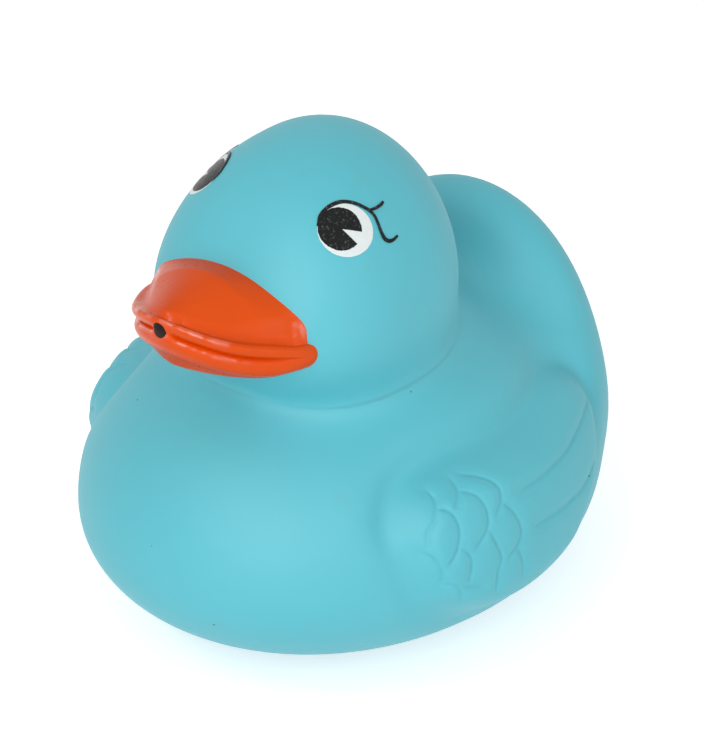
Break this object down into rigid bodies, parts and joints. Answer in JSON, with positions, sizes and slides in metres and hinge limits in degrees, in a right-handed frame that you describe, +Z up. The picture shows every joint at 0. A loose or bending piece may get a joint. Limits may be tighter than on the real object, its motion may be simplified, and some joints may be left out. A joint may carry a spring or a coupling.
{
  "type": "rubber duck",
  "caption": "Hollow soft vinyl bath duck with a painted bill, printed eyes, raised wings with pressed feather lines and a squirt hole in the bill tip.",
  "frame": {"origin": "middle of the duck's bounding box seen from above, on the surface it stands on", "axes": "+Z up from the flat base, -Y the way the bill points, +X the duck's left side"},
  "size_m": [0.0796, 0.089, 0.0786],
  "materials": {
    "turquoise_vinyl": "satin soft vinyl in turquoise, with an orange painted bill and black and white printed eyes"
  },
  "bodies": {
    "root": {"duck": "turquoise_vinyl"}
  },
  "joints": []
}
